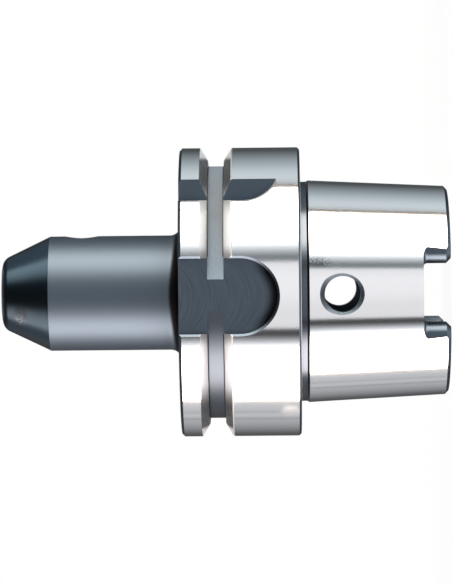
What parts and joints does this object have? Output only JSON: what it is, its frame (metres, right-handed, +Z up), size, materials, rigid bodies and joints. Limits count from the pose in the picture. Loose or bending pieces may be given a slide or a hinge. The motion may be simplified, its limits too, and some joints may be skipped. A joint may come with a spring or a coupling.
{
  "type": "endmill holder",
  "caption": "Side-lock end mill holder: hollow taper shank with drive slots, flange with gripper groove and keyways, slender nose with a bore and a clamping screw.",
  "frame": {"origin": "centre of the shank's open end, on which the holder stands", "axes": "+Z up the holder's axis towards the nose, -Y through the narrower flange keyway, +X through the clamping screw"},
  "size_m": [0.063, 0.063, 0.097],
  "materials": {
    "holder_steel": "ground bright on the taper and the flange, black oxide elsewhere",
    "screw_steel": "black oxide"
  },
  "bodies": {
    "holder": {"holder_body": "holder_steel"},
    "screw": {"clamping_screw": "screw_steel"}
  },
  "joints": [
    {"name": "screw_travel", "type": "slide", "parent": "holder", "child": "screw", "axis": [-1, 0, 0], "range_m": [-0.0012, 0.0014]}
  ]
}
